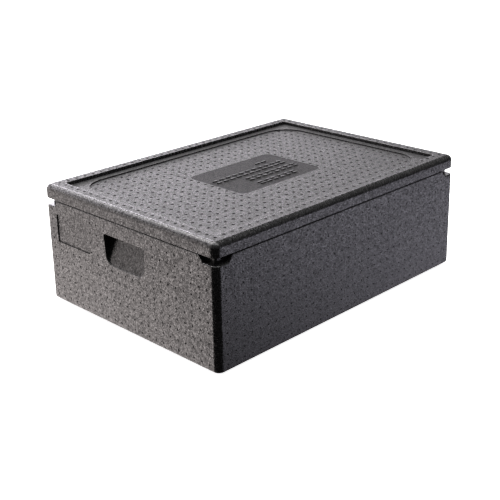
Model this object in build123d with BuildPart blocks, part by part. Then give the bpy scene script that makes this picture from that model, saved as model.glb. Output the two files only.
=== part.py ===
"""Insulated food carrier: a bead-foam box with a lift-off stacking lid.

Millimetres. X runs along the long side, Y along the short side and Z up.
The origin is on the ground, under the middle of the box.
"""
from build123d import *
import os

os.makedirs("parts", exist_ok=True)

# Outside
length = 685.0
width = 485.0
corner_radius = 13.0
body_top = 216.0  # the joint between body and lid
lid_side = 29.0
lid_top = body_top + lid_side
lid_edge_radius = 11.0
base_edge_radius = 4.0
joint_edge_radius = 0.8
seam_gap = 1.8  # dark gap round the outside, under the edge of the lid
seam_reach = 5.0

# Stacking foot under the box, and the recess on the lid that it drops into
foot_height = 6.0
rim_width = 30.5
seat_depth = 7.0
seat_corner_radius = 5.0
seat_lip_radius = 1.5
foot_clearance = 2.0
foot_hollow_border = 55.0
foot_hollow_depth = 3.0
foot_hollow_radius = 30.0

# Food space
wall = 30.0
floor_top = 32.0
cavity_corner_radius = 22.0
cavity_floor_radius = 10.0

# Lid plug that closes the food space
plug_depth = 13.0
plug_clearance = 0.6
plug_edge_radius = 3.0

# Sunk panel and nameplate field on the lid
panel_border = 16.0
panel_depth = 2.4
panel_corner_radius = 58.0
plate_length = 226.0
plate_width = 155.0
plate_depth = 0.4
plate_corner_radius = 14.0
dash_height = 2.0
dash_length = 13.0
dash_width = 4.0
dash_pitch = 18.0
dash_rows = (
    # centre along X, centre along Y, dashes in a line, lines, space between lines
    (56.0, 41.0, 2, 1, 0.0),
    (-4.0, 13.0, 11, 2, 13.0),
    (27.0, -20.0, 8, 2, 11.0),
    (9.0, -52.0, 6, 2, 9.0),
)

# Grip scoop in each end wall
grip_top = body_top - 29.0
grip_height = 58.0
grip_top_width = 116.0
grip_bottom_width = 106.0
grip_depth = 21.0
grip_foot_depth = 2.0  # how deep the scoop still is at its bottom edge
grip_top_corner = 4.0
grip_bottom_corner = 18.0
grip_edge_radius = 1.4

# Label field beside each grip
label_length = 102.0
label_height = 57.0
label_depth = 2.0
label_offset = 156.0
label_top = body_top - 26.0
label_corner_radius = 2.5

# Finger notch cut into each top corner of the body
notch_height = 12.0
notch_reach_top = 41.0
notch_reach_floor = 32.0
notch_depth = 11.5
notch_inner_radius = 4.0
notch_edge_radius = 2.5
mouth_radius = 2.0  # inside top edge of the body

half_length = length / 2
half_width = width / 2
overcut = 10.0  # how far a cutting tool stands past the face that it cuts
tool_top = body_top + overcut
near = 1.0  # how far to each side of a place an edge or face is looked for


# ---------------------------------------------------------------- cutting tools
def notch_profile():
    """One arm of a notch seen square on: s is measured from the corner along the wall."""
    slope = (notch_reach_top - notch_reach_floor) / notch_height
    reach_above = notch_reach_top + slope * overcut
    return [
        (-reach_above, tool_top),
        (-notch_reach_floor, body_top - notch_height),
        (overcut, body_top - notch_height),
        (overcut, tool_top),
    ]


def on_outside(edge):
    """True for an edge that runs along an outside wall of the box or round its corner."""
    middle = edge.position_at(0.5)
    corner_inset = corner_radius * (1 - 0.5**0.5)
    along_end = abs(middle.X) > half_length - corner_inset - near
    along_side = abs(middle.Y) > half_width - corner_inset - near
    return along_end or along_side


with BuildPart() as notch_tool:
    # Arm along the long side at +Y, up to the corner at +X +Y
    with BuildSketch(Plane.XZ.offset(-half_width - overcut)):
        with BuildLine():
            Polyline([(half_length + s, z) for s, z in notch_profile()], close=True)
        make_face()
    extrude(amount=notch_depth + overcut)
    # Arm along the end at +X, up to the same corner
    with BuildSketch(Plane.YZ.offset(half_length + overcut)):
        with BuildLine():
            Polyline([(half_width + s, z) for s, z in notch_profile()], close=True)
        make_face()
    extrude(amount=-notch_depth - overcut)
    inner_x = half_length - notch_depth
    inner_y = half_width - notch_depth
    inner_edge = (
        edges()
        .filter_by(Axis.Z)
        .filter_by_position(Axis.X, inner_x - near, inner_x + near)
        .filter_by_position(Axis.Y, inner_y - near, inner_y + near)
    )
    fillet(inner_edge, notch_inner_radius)
    mirror(about=Plane.YZ)
    mirror(about=Plane.XZ)

with BuildPart() as grip_tool:
    # Scoop in the end wall at -X: deep under its top edge, almost running out at the bottom
    with BuildSketch(Plane.YZ.offset(-half_length)):
        with BuildLine():
            Polyline(
                (-grip_top_width / 2, grip_top),
                (grip_top_width / 2, grip_top),
                (grip_bottom_width / 2, grip_top - grip_height),
                (-grip_bottom_width / 2, grip_top - grip_height),
                close=True,
            )
        make_face()
        fillet(vertices().group_by(Axis.Y)[0], grip_bottom_corner)
        fillet(vertices().group_by(Axis.Y)[-1], grip_top_corner)
    extrude(amount=grip_depth)
    scoop_back = Plane(
        origin=(-half_length + grip_foot_depth, 0, grip_top - grip_height),
        x_dir=(0, 1, 0),
        z_dir=(-grip_height, 0, grip_depth - grip_foot_depth),
    )
    split(bisect_by=scoop_back, keep=Keep.TOP)

with BuildPart() as label_tool:
    with BuildSketch(Plane.YZ.offset(-half_length)):
        with Locations((label_offset, label_top - label_height / 2)):
            RectangleRounded(label_length, label_height, label_corner_radius)
    extrude(amount=label_depth)

# ---------------------------------------------------------------- box body
with BuildPart() as box_body:
    with BuildSketch(Plane.XY.offset(foot_height)):
        RectangleRounded(length, width, corner_radius)
    extrude(amount=body_top - foot_height)
    fillet(faces().sort_by(Axis.Z)[0].edges(), base_edge_radius)
    fillet(faces().sort_by(Axis.Z)[-1].edges(), joint_edge_radius)

    # Stacking foot, with a shallow hollow so that it stands on its border
    foot_length = length - 2 * (rim_width + foot_clearance)
    foot_width = width - 2 * (rim_width + foot_clearance)
    with BuildSketch(Plane.XY):
        RectangleRounded(foot_length, foot_width, seat_corner_radius)
    extrude(amount=foot_height)
    with BuildSketch(Plane.XY):
        RectangleRounded(
            foot_length - 2 * foot_hollow_border,
            foot_width - 2 * foot_hollow_border,
            foot_hollow_radius,
        )
    extrude(amount=foot_hollow_depth, mode=Mode.SUBTRACT)

    # Food space
    with BuildSketch(Plane.XY.offset(floor_top)):
        RectangleRounded(length - 2 * wall, width - 2 * wall, cavity_corner_radius)
    extrude(amount=body_top - floor_top, mode=Mode.SUBTRACT)
    cavity_floor = faces().filter_by(Plane.XY).filter_by_position(Axis.Z, floor_top - near, floor_top + near)
    fillet(cavity_floor.edges(), cavity_floor_radius)

    # Finger notches, grips and label fields
    add(notch_tool.part, mode=Mode.SUBTRACT)
    add(grip_tool.part, mode=Mode.SUBTRACT)
    add(grip_tool.part.rotate(Axis.Z, 180), mode=Mode.SUBTRACT)
    add(label_tool.part, mode=Mode.SUBTRACT)
    add(label_tool.part.rotate(Axis.Z, 180), mode=Mode.SUBTRACT)

    # Rounded edges: notch floors, grips and the mouth of the food space
    notch_floor = body_top - notch_height
    fillet(edges().filter_by_position(Axis.Z, notch_floor, notch_floor).filter_by(on_outside), notch_edge_radius)
    for side in (-half_length, half_length):
        grip_edges = (
            edges()
            .filter_by_position(Axis.X, side, side)
            .filter_by_position(Axis.Y, -grip_top_width / 2, grip_top_width / 2)
            .filter_by_position(Axis.Z, grip_top - grip_height, grip_top)
        )
        fillet(grip_edges, grip_edge_radius)
    mouth = faces().sort_by(Axis.Z)[-1].inner_wires()[0]
    fillet(mouth.edges(), mouth_radius)
box_body.part.label = "box_body"

# ---------------------------------------------------------------- lid
with BuildPart() as lid:
    with BuildSketch(Plane.XY.offset(body_top)):
        RectangleRounded(length, width, corner_radius)
    extrude(amount=lid_side)
    fillet(faces().sort_by(Axis.Z)[-1].edges(), lid_edge_radius)

    # Gap round the outside of the joint
    with BuildSketch(Plane.XY.offset(body_top)):
        RectangleRounded(length, width, corner_radius)
        RectangleRounded(
            length - 2 * seam_reach,
            width - 2 * seam_reach,
            corner_radius - seam_reach,
            mode=Mode.SUBTRACT,
        )
    extrude(amount=seam_gap, mode=Mode.SUBTRACT)
    gap_roof = faces().filter_by_position(Axis.Z, body_top + seam_gap, body_top + seam_gap)[0]
    fillet(gap_roof.outer_wire().edges(), joint_edge_radius)

    # Stacking recess inside a raised rim
    seat_length = length - 2 * rim_width
    seat_width = width - 2 * rim_width
    with BuildSketch(Plane.XY.offset(lid_top)):
        RectangleRounded(seat_length, seat_width, seat_corner_radius)
    extrude(amount=-seat_depth, mode=Mode.SUBTRACT)
    rim_top = faces().sort_by(Axis.Z)[-1]
    fillet(rim_top.inner_wires()[0].edges(), seat_lip_radius)

    # Sunk panel, and the nameplate field sunk into it
    panel_top = lid_top - seat_depth
    with BuildSketch(Plane.XY.offset(panel_top)):
        RectangleRounded(seat_length - 2 * panel_border, seat_width - 2 * panel_border, panel_corner_radius)
    extrude(amount=-panel_depth, mode=Mode.SUBTRACT)
    plate_top = panel_top - panel_depth
    with BuildSketch(Plane.XY.offset(plate_top)):
        RectangleRounded(plate_length, plate_width, plate_corner_radius)
    extrude(amount=-plate_depth, mode=Mode.SUBTRACT)

    # Rows of plain raised dashes on the nameplate field
    with BuildSketch(Plane.XY.offset(plate_top - plate_depth)):
        for row_x, row_y, dashes, lines, line_space in dash_rows:
            with Locations((row_x, row_y)):
                with GridLocations(dash_pitch, line_space, dashes, lines):
                    SlotOverall(dash_length, dash_width)
    extrude(amount=dash_height)

    # Plug
    with BuildSketch(Plane.XY.offset(body_top)):
        RectangleRounded(
            length - 2 * (wall + plug_clearance),
            width - 2 * (wall + plug_clearance),
            cavity_corner_radius - plug_clearance,
        )
    extrude(amount=-plug_depth)
    fillet(faces().sort_by(Axis.Z)[0].edges(), plug_edge_radius)
lid.part.label = "lid"

# ---------------------------------------------------------------- files
for piece in (box_body, lid):
    export_step(piece.part, f"parts/{piece.part.label}.step")
    print(piece.part.label, round(piece.part.volume / 1e6, 3), "litres of foam")
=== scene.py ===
"""Looks for the insulated food carrier: black bead foam, vent marks, studio light and camera."""
import math

import bmesh
import bpy
from mathutils import Matrix, Vector


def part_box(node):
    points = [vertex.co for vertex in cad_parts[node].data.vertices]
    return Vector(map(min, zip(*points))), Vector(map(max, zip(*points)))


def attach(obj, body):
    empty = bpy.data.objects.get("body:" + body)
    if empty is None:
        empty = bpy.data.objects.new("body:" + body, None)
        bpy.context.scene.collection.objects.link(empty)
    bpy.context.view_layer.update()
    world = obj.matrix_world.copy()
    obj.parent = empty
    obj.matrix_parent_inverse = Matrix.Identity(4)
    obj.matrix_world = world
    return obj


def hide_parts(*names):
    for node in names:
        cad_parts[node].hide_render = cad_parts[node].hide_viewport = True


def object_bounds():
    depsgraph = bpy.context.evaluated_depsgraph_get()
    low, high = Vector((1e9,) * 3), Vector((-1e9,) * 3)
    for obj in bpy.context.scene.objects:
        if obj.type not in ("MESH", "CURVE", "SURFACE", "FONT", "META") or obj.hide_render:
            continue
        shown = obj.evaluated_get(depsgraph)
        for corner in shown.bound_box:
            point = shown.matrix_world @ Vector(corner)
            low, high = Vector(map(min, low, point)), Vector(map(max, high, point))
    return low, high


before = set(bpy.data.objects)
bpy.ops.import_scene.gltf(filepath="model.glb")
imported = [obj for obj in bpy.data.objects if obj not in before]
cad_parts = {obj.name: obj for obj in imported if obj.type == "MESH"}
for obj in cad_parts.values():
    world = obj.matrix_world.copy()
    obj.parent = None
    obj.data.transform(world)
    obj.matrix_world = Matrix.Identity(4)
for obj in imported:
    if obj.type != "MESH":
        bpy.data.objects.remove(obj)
cad_low, cad_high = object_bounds()

# ------------------------------------------------------------------ camera
CAMERA_AZIMUTH = math.radians(-44.918)
CAMERA_ELEVATION = math.radians(19.023)
CAMERA_ROLL = math.radians(-1.166)
CAMERA_DISTANCE = 2.0385
CAMERA_AIM = Vector((0.0036, 0.0215, 0.1716))
SENSOR_WIDTH = 36.0
FOCAL_LENGTH = 71.49
RISE = -0.10


def make_camera():
    """The photograph's camera: it circles the aim point at a set distance, and rolls a little."""
    data = bpy.data.cameras.new("camera")
    camera = bpy.data.objects.new("camera", data)
    bpy.context.scene.collection.objects.link(camera)
    data.sensor_width = SENSOR_WIDTH
    data.lens = FOCAL_LENGTH
    data.shift_y = RISE
    back = Vector((
        math.sin(CAMERA_AZIMUTH) * math.cos(CAMERA_ELEVATION),
        -math.cos(CAMERA_AZIMUTH) * math.cos(CAMERA_ELEVATION),
        math.sin(CAMERA_ELEVATION),
    ))
    level = (-back).to_track_quat("-Z", "Y").to_matrix().to_4x4()
    roll = Matrix.Rotation(CAMERA_ROLL, 4, "Z")
    camera.matrix_world = Matrix.Translation(CAMERA_AIM + back * CAMERA_DISTANCE) @ level @ roll
    bpy.context.scene.camera = camera


make_camera()


# ------------------------------------------------------------------ materials
class Graph:
    """A few short ways of adding shader nodes and joining them."""

    def __init__(self, tree):
        self.tree = tree

    def add(self, kind, **settings):
        node = self.tree.nodes.new(kind)
        for name, value in settings.items():
            setattr(node, name, value)
        return node

    def feed(self, socket, value):
        if isinstance(value, bpy.types.NodeSocket):
            self.tree.links.new(value, socket)
        else:
            socket.default_value = value

    def math(self, operation, a, b=0.0):
        node = self.add("ShaderNodeMath", operation=operation)
        self.feed(node.inputs[0], a)
        self.feed(node.inputs[1], b)
        return node.outputs[0]

    def vector(self, operation, a, b, output="Vector"):
        node = self.add("ShaderNodeVectorMath", operation=operation)
        self.feed(node.inputs[0], a)
        self.feed(node.inputs[1], b)
        return node.outputs[output]

    def ramp(self, value, low, high, to_low=0.0, to_high=1.0, smooth=True):
        node = self.add("ShaderNodeMapRange")
        node.interpolation_type = "SMOOTHSTEP" if smooth else "LINEAR"
        self.feed(node.inputs["Value"], value)
        node.inputs["From Min"].default_value = low
        node.inputs["From Max"].default_value = high
        node.inputs["To Min"].default_value = to_low
        node.inputs["To Max"].default_value = to_high
        return node.outputs["Result"]

    def blend(self, factor, a, b, kind="MIX"):
        node = self.add("ShaderNodeMix", data_type="RGBA", blend_type=kind)
        self.feed(node.inputs["Factor"], factor)
        self.feed(node.inputs["A"], a)
        self.feed(node.inputs["B"], b)
        return node.outputs["Result"]


BEAD_RIM = 0.00004  # how far a bead dips at its rim
RIM_WIDTH = 0.12  # in parts of a bead, as is the groove's
GROOVE_WIDTH = 0.1
GROOVE_GLOSS = 0.25
COLOUR_SPREAD = 0.4
ROUGHER, SMOOTHER = 0.10, 0.08


def bead_foam(name, base, roughness, gloss=0.5, bead=0.0024, lean=0.06, contrast=0.5):
    """Moulded bead foam: black beads with a smooth skin each, and a fine groove between them.

    bead is the size of a bead, lean is how far the beads tilt, and contrast is how far their gloss varies.
    """
    material = bpy.data.materials.new(name)
    material.use_nodes = True
    graph = Graph(material.node_tree)
    shader = material.node_tree.nodes["Principled BSDF"]
    shader.inputs["IOR"].default_value = 1.5
    place = graph.add("ShaderNodeTexCoord").outputs["Object"]
    beads = graph.add("ShaderNodeTexVoronoi", feature="F1")
    graph.feed(beads.inputs["Scale"], 1 / bead)
    graph.feed(beads.inputs["Vector"], place)
    grooves = graph.add("ShaderNodeTexVoronoi", feature="DISTANCE_TO_EDGE")
    graph.feed(grooves.inputs["Scale"], 1 / bead)
    graph.feed(grooves.inputs["Vector"], place)
    draw = graph.add("ShaderNodeSeparateColor")
    graph.feed(draw.inputs["Color"], beads.outputs["Color"])

    # height: each bead leans its own way, and dips at its rim
    away = graph.vector("SUBTRACT", place, beads.outputs["Position"])
    way = graph.vector("SUBTRACT", beads.outputs["Color"], (0.5, 0.5, 0.5))
    slope = graph.math("MULTIPLY", graph.vector("DOT_PRODUCT", away, way, "Value"), 2 * lean)
    crown = graph.math("MULTIPLY", graph.ramp(grooves.outputs["Distance"], 0.0, RIM_WIDTH), BEAD_RIM)
    bump = graph.add("ShaderNodeBump")
    graph.feed(bump.inputs["Distance"], 1.0)
    graph.feed(bump.inputs["Height"], graph.math("ADD", slope, crown))
    graph.feed(shader.inputs["Normal"], bump.outputs["Normal"])

    # colour, roughness and gloss vary from bead to bead
    dark = (*[c * (1 - COLOUR_SPREAD) for c in base], 1)
    light = (*[c * (1 + COLOUR_SPREAD) for c in base], 1)
    graph.feed(shader.inputs["Base Color"], graph.blend(draw.outputs["Red"], dark, light))
    smoothest, roughest = roughness - SMOOTHER, roughness + ROUGHER
    rough = graph.ramp(draw.outputs["Green"], 0, 1, smoothest, roughest, smooth=False)
    graph.feed(shader.inputs["Roughness"], rough)
    least, most = gloss * (1 - contrast), gloss * (1 + contrast)
    shine = graph.ramp(draw.outputs["Blue"], 0, 1, least, most, smooth=False)
    sealed = graph.ramp(grooves.outputs["Distance"], 0.0, GROOVE_WIDTH, GROOVE_GLOSS, 1.0)
    graph.feed(shader.inputs["Specular IOR Level"], graph.math("MULTIPLY", shine, sealed))
    return material


FOAM_COLOUR = (0.008, 0.0078, 0.008)
# a little darker than the foam: painted shade for the lid's vent cups
VENT_SHADE_COLOUR = (0.006, 0.006, 0.006)
wall_beads = {"bead": 0.0025, "lean": 0.045, "contrast": 0.65}
foam = bead_foam("bead_foam", FOAM_COLOUR, 0.24, **wall_beads)
top_foam = bead_foam("top_bead_foam", FOAM_COLOUR, 0.58, lean=0.12)
fine_foam = bead_foam("fine_bead_foam", FOAM_COLOUR, 0.72, gloss=0.20, bead=0.0016, contrast=0.25)
# the wall vent cups get a duller copy of the foam: painted shade
wall_vent_painted_shade_foam = bead_foam("wall_vent_painted_shade_foam", FOAM_COLOUR, 0.50, gloss=0.12, bead=0.0016)
label_foam = bead_foam("label_bead_foam", FOAM_COLOUR, 0.24, gloss=0.39, **wall_beads)
# a glossier copy of the top foam for the band inside the rim: a painted highlight where the rim wall
# shades it
band_painted_highlight_foam = bead_foam("band_painted_highlight_bead_foam", FOAM_COLOUR, 0.58, gloss=0.65, lean=0.12)
# the lid's vent cups get a darker, duller copy of the foam: painted shade
vent_painted_shade_foam = bead_foam("vent_painted_shade_foam", VENT_SHADE_COLOUR, 0.7, gloss=0.20, bead=0.0012)

# Every moulding has the same list of materials, and these are the places in it
MATERIALS = (foam, fine_foam, vent_painted_shade_foam, top_foam, wall_vent_painted_shade_foam, band_painted_highlight_foam, label_foam)
FOAM, FINE, VENT, TOP, WALL_VENT, BAND, LABEL = range(len(MATERIALS))


# ------------------------------------------------------------------ mouldings with their vent marks
NEAR = 1e-4  # how closely a face's height or place is matched
WELD = 1e-6  # corners closer than this are one
SHARP_ANGLE = math.radians(30)

# The lid: the rounded outer edge, the recess inside the rim, the sunk panel and the nameplate field
EDGE_RADIUS = 0.011
SEAT_HALF = (0.312, 0.212)
PANEL_HALF = (0.296, 0.196)
PANEL_RADIUS = 0.058
PLATE_HALF = (0.113, 0.0775)
DASH_HEIGHT = 0.0020
SEAT_DEPTH = 0.007
PANEL_DEPTH = 0.0024
PLATE_DEPTH = 0.0004
lid_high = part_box("lid")[1]
BAND_Z = lid_high.z - SEAT_DEPTH
PANEL_Z = BAND_Z - PANEL_DEPTH
PLATE_Z = PANEL_Z - PLATE_DEPTH

# The body: no vents in the grips and label fields
body_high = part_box("box_body")[1]
GRIP_HALF = 0.064
GRIP_FOOT = 0.123
LABEL_SIDES = (0.100, 0.212)
LABEL_FOOT = 0.128
LABEL_DEPTH = 0.002

# Vent marks: a grid over everything, and the radius and depth of each kind
VENT_PITCH = 0.020
LONG_REACH = 0.320
SHORT_REACH = 0.220
LOWEST_ROW = 0.018
WALL_ROWS = 10
TOP_VENT = (0.0034, 0.0008)
EDGE_VENT = (0.0012, 0.0008)
SIDE_VENT = (0.0019, 0.0006)
END_VENT = (0.0022, 0.0006)
VENT_LIFT = 0.0004  # how far a cutter stands past the surface
VENT_SIDES = 10
VENT_TAPER = 0.8
PLATE_MARGIN = 0.004
CORNER_MARGIN = 0.005
EDGE_VENT_LEAN = math.radians(60)


def cut_vent(tool, place, out, radius, depth):
    """Adds one vent cutter, a blunt cup whose open end stands past the surface that it cuts."""
    turn = Vector(out).to_track_quat("Z", "Y").to_matrix().to_4x4()
    middle = Vector(place) + Vector(out) * (VENT_LIFT - depth) / 2
    bmesh.ops.create_cone(
        tool,
        cap_ends=True,
        segments=VENT_SIDES,
        radius1=radius * VENT_TAPER,
        radius2=radius,
        depth=depth + VENT_LIFT,
        matrix=Matrix.Translation(middle) @ turn,
    )


def steps(reach):
    """Multiples of the vent pitch from -reach to +reach."""
    count = int(reach / VENT_PITCH + 1e-6)
    return [i * VENT_PITCH for i in range(-count, count + 1)]


def top_vents(tool):
    """Vents on the rim and the panel, but not on the band between them or on the nameplate field."""
    for x in steps(LONG_REACH):
        for y in steps(SHORT_REACH):
            on_rim = abs(x) > SEAT_HALF[0] or abs(y) > SEAT_HALF[1]
            on_band = not on_rim and (abs(x) > PANEL_HALF[0] or abs(y) > PANEL_HALF[1])
            on_plate = abs(x) < PLATE_HALF[0] + PLATE_MARGIN and abs(y) < PLATE_HALF[1] + PLATE_MARGIN
            past_x = max(abs(x) - PANEL_HALF[0] + PANEL_RADIUS, 0)
            past_y = max(abs(y) - PANEL_HALF[1] + PANEL_RADIUS, 0)
            on_corner = math.hypot(past_x, past_y) > PANEL_RADIUS - CORNER_MARGIN and not on_rim
            if on_plate or on_band or on_corner:
                continue
            level = lid_high.z if on_rim else PANEL_Z
            cut_vent(tool, (x, y, level), (0, 0, 1), *TOP_VENT)


def edge_vents(tool):
    """A row of small vents on the rounded outer edge of each side."""
    across, up = math.sin(EDGE_VENT_LEAN), math.cos(EDGE_VENT_LEAN)
    inset = EDGE_RADIUS * (1 - across)
    level = lid_high.z - EDGE_RADIUS * (1 - up)
    for side in (-1, 1):
        for x in steps(LONG_REACH):
            cut_vent(tool, (x, side * (lid_high.y - inset), level), (0, side * across, up), *EDGE_VENT)
        for y in steps(SHORT_REACH):
            cut_vent(tool, (side * (lid_high.x - inset), y, level), (side * across, 0, up), *EDGE_VENT)


def lid_vents(tool):
    top_vents(tool)
    edge_vents(tool)


def wall_vents(tool):
    """Rows of vents on the four walls of the body."""
    for row in range(WALL_ROWS):
        z = LOWEST_ROW + row * VENT_PITCH
        for x in steps(LONG_REACH):
            for side in (-1, 1):
                cut_vent(tool, (x, side * body_high.y, z), (0, side, 0), *SIDE_VENT)
        for y in steps(SHORT_REACH):
            for side in (-1, 1):
                in_grip = abs(y) < GRIP_HALF and z > GRIP_FOOT
                in_label = LABEL_SIDES[0] < -side * y < LABEL_SIDES[1] and z > LABEL_FOOT
                if in_grip or in_label:
                    continue
                cut_vent(tool, (side * body_high.x, y, z), (side, 0, 0), *END_VENT)


def moulding(node, name, vents, vent_slot):
    """A copy of a CAD moulding with its vents cut in. It stands for the CAD node."""
    shape = bmesh.new()
    shape.from_mesh(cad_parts[node].data)
    bmesh.ops.remove_doubles(shape, verts=shape.verts, dist=WELD)
    for face in shape.faces:
        face.material_index = FOAM
        face.smooth = True
    mesh = bpy.data.meshes.new(name)
    shape.to_mesh(mesh)
    shape.free()
    for layer in ("custom_normal", "UVMap"):
        if layer in mesh.attributes:
            mesh.attributes.remove(mesh.attributes[layer])
    for material in MATERIALS:
        mesh.materials.append(material)
    piece = bpy.data.objects.new(name, mesh)
    bpy.context.scene.collection.objects.link(piece)

    # cut the vents
    tool = bmesh.new()
    vents(tool)
    # the cutter's faces become the vent cups and take a vent material: painted shade
    for face in tool.faces:
        face.material_index = vent_slot
    tool_mesh = bpy.data.meshes.new(name + "_vents")
    tool.to_mesh(tool_mesh)
    tool.free()
    for material in MATERIALS:
        tool_mesh.materials.append(material)
    cutter = bpy.data.objects.new(name + "_vents", tool_mesh)
    bpy.context.scene.collection.objects.link(cutter)
    cut = piece.modifiers.new("vents", "BOOLEAN")
    cut.operation = "DIFFERENCE"
    cut.solver = "MANIFOLD"
    cut.material_mode = "INDEX"
    cut.object = cutter
    view = bpy.context.evaluated_depsgraph_get()
    result = bpy.data.meshes.new_from_object(piece.evaluated_get(view))
    piece.modifiers.clear()
    bpy.data.objects.remove(cutter)
    piece.data = result

    # smooth shading that keeps the flat faces flat
    result.shade_smooth()
    result.set_sharp_from_angle(angle=SHARP_ANGLE)
    even = piece.modifiers.new("even_normals", "WEIGHTED_NORMAL")
    even.keep_sharp = True
    view = bpy.context.evaluated_depsgraph_get()
    piece.data = bpy.data.meshes.new_from_object(piece.evaluated_get(view))
    piece.modifiers.clear()
    piece.data.name = name
    return piece


def paint_lid(piece):
    """The flat top is rough, the band inside the rim gets a glossier copy of it as a painted highlight,
    and the nameplate field came off a smoother patch of the mould.
    """
    for face in piece.data.polygons:
        middle = face.center
        level = face.normal.z > 0.999
        in_plate = abs(middle.x) < PLATE_HALF[0] and abs(middle.y) < PLATE_HALF[1]
        on_dash = in_plate and level and middle.z > PANEL_Z + NEAR
        if in_plate and PLATE_Z - NEAR < middle.z < PANEL_Z + DASH_HEIGHT and not on_dash:
            face.material_index = FINE
        elif face.material_index == FOAM and level and middle.z > PANEL_Z - NEAR:
            # the band takes the glossier copy, a painted highlight
            face.material_index = BAND if abs(middle.z - BAND_Z) < NEAR else TOP


def paint_labels(piece):
    """The label fields are a little duller than the walls round them."""
    for face in piece.data.polygons:
        sunk = abs(abs(face.center.x) - (body_high.x - LABEL_DEPTH)) < NEAR
        if sunk and abs(face.normal.x) > 0.99:
            face.material_index = LABEL


lid_moulding = moulding("lid", "lid_moulding", lid_vents, VENT)
paint_lid(lid_moulding)
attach(lid_moulding, "lid")
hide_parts("lid")

body_moulding = moulding("box_body", "body_moulding", wall_vents, WALL_VENT)
paint_labels(body_moulding)
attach(body_moulding, "body")
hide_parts("box_body")


# ------------------------------------------------------------------ stage
def softbox(graph, heading, azimuth, core, edge, low, high, soft, strength, colour):
    """Light from a patch of the surroundings, by compass angle from +X and by height.

    It is full within core degrees of its azimuth and fades to nothing at edge, and a core of 180 or
    more goes all the way round. Heights run from -1 below to 1 above, and fade over soft on each side.
    """
    east, north = math.cos(math.radians(azimuth)), math.sin(math.radians(azimuth))
    flat = graph.vector("NORMALIZE", graph.vector("MULTIPLY", heading, (1, 1, 0)), (0, 0, 0))
    across = graph.vector("DOT_PRODUCT", flat, (east, north, 0), "Value")
    if core >= 180:
        side = 1.0
    else:
        side = graph.ramp(across, math.cos(math.radians(edge)), math.cos(math.radians(core)))
    height = graph.add("ShaderNodeSeparateXYZ")
    graph.feed(height.inputs[0], heading)
    floor = graph.ramp(height.outputs["Z"], low - soft, low + soft)
    roof = graph.ramp(height.outputs["Z"], high - soft, high + soft, 1.0, 0.0)
    level = graph.math("MULTIPLY", side, graph.math("MULTIPLY", floor, roof))
    level = graph.math("MULTIPLY", level, strength)
    patch = graph.vector("SCALE", colour, (0, 0, 0))
    graph.feed(patch.node.inputs["Scale"], level)
    return patch


WARM = (1.0, 0.915, 0.90)
CREAM = (1.0, 0.975, 0.95)
COOL = (0.90, 0.87, 1.0)
LILAC = (0.975, 0.93, 1.0)
WHITE = (1.0, 1.0, 1.0)
SHADE = (0.01, 0.01, 0.01)
SOFTBOXES = (
    # azimuth, core, edge, low, high, soft, strength, colour
    # seen in the short end, and in the back of its grip
    (120, 22, 26, -0.85, -0.15, 0.10, 1.85, WARM),
    (112, 12, 30, -0.85, -0.34, 0.06, 2.3, WARM),
    (120, 22, 26, -0.15, 0.38, 0.10, 1.9, WARM),
    # seen in the long side
    (-35, 20, 24, -0.43, -0.26, 0.10, 2.45, COOL),
    (-50, 7, 11, -0.43, -0.26, 0.10, 1.2, COOL),
    # seen in the far walls, from behind
    (45, 26, 38, -0.50, -0.22, 0.10, 0.8, COOL),
    # seen in the top of the lid
    (76, 38, 44, 0.05, 0.38, 0.06, 5.2, LILAC),
    (72, 22, 30, 0.05, 0.38, 0.06, 4.2, LILAC),
    # seen in the rounded edge over the short end
    (90, 32, 42, 0.50, 0.95, 0.06, 2.6, LILAC),
    (95, 28, 42, 0.67, 0.95, 0.05, 7.5, CREAM),
    # a small bright one, seen in rounded corners
    (-66, 15, 22, 0.80, 0.93, 0.03, 14.0, WHITE),
    # overhead, and a faint glow from the whole room
    (0, 360, 360, 0.90, 2.0, 0.04, 4.0, WHITE),
    (0, 360, 360, 0.1, 2.0, 0.10, 0.28, WHITE),
)


def make_world():
    """A dark room with the soft boxes round it. The camera sees plain white in its place."""
    world = bpy.data.worlds.new("studio")
    world.use_nodes = True
    graph = Graph(world.node_tree)
    heading = graph.add("ShaderNodeTexCoord").outputs["Generated"]
    light = SHADE
    for row in SOFTBOXES:
        light = graph.vector("ADD", softbox(graph, heading, *row), light)
    seen = graph.add("ShaderNodeLightPath").outputs["Is Camera Ray"]
    background = world.node_tree.nodes["Background"]
    graph.feed(background.inputs["Color"], graph.blend(seen, light, (*WHITE, 1)))
    bpy.context.scene.world = world


FLOOR_HALF = 30.0


def make_floor():
    """White paper under the object. It lights nothing, so that the foam reflects the soft boxes alone."""
    mesh = bpy.data.meshes.new("floor")
    shape = bmesh.new()
    bmesh.ops.create_grid(shape, x_segments=1, y_segments=1, size=FLOOR_HALF)
    shape.to_mesh(mesh)
    shape.free()
    floor = bpy.data.objects.new("floor", mesh)
    bpy.context.scene.collection.objects.link(floor)
    floor.location.z = cad_low.z
    floor.visible_glossy = False
    floor.visible_diffuse = False
    paper = bpy.data.materials.new("white_paper")
    paper.use_nodes = True
    shader = paper.node_tree.nodes["Principled BSDF"]
    shader.inputs["Base Color"].default_value = (0.9, 0.9, 0.9, 1)
    shader.inputs["Roughness"].default_value = 0.9
    shader.inputs["Specular IOR Level"].default_value = 0.0
    shader.inputs["Emission Color"].default_value = (*WHITE, 1)
    shader.inputs["Emission Strength"].default_value = 0.95
    mesh.materials.append(paper)


make_world()
make_floor()
bpy.context.scene.view_settings.view_transform = "Standard"
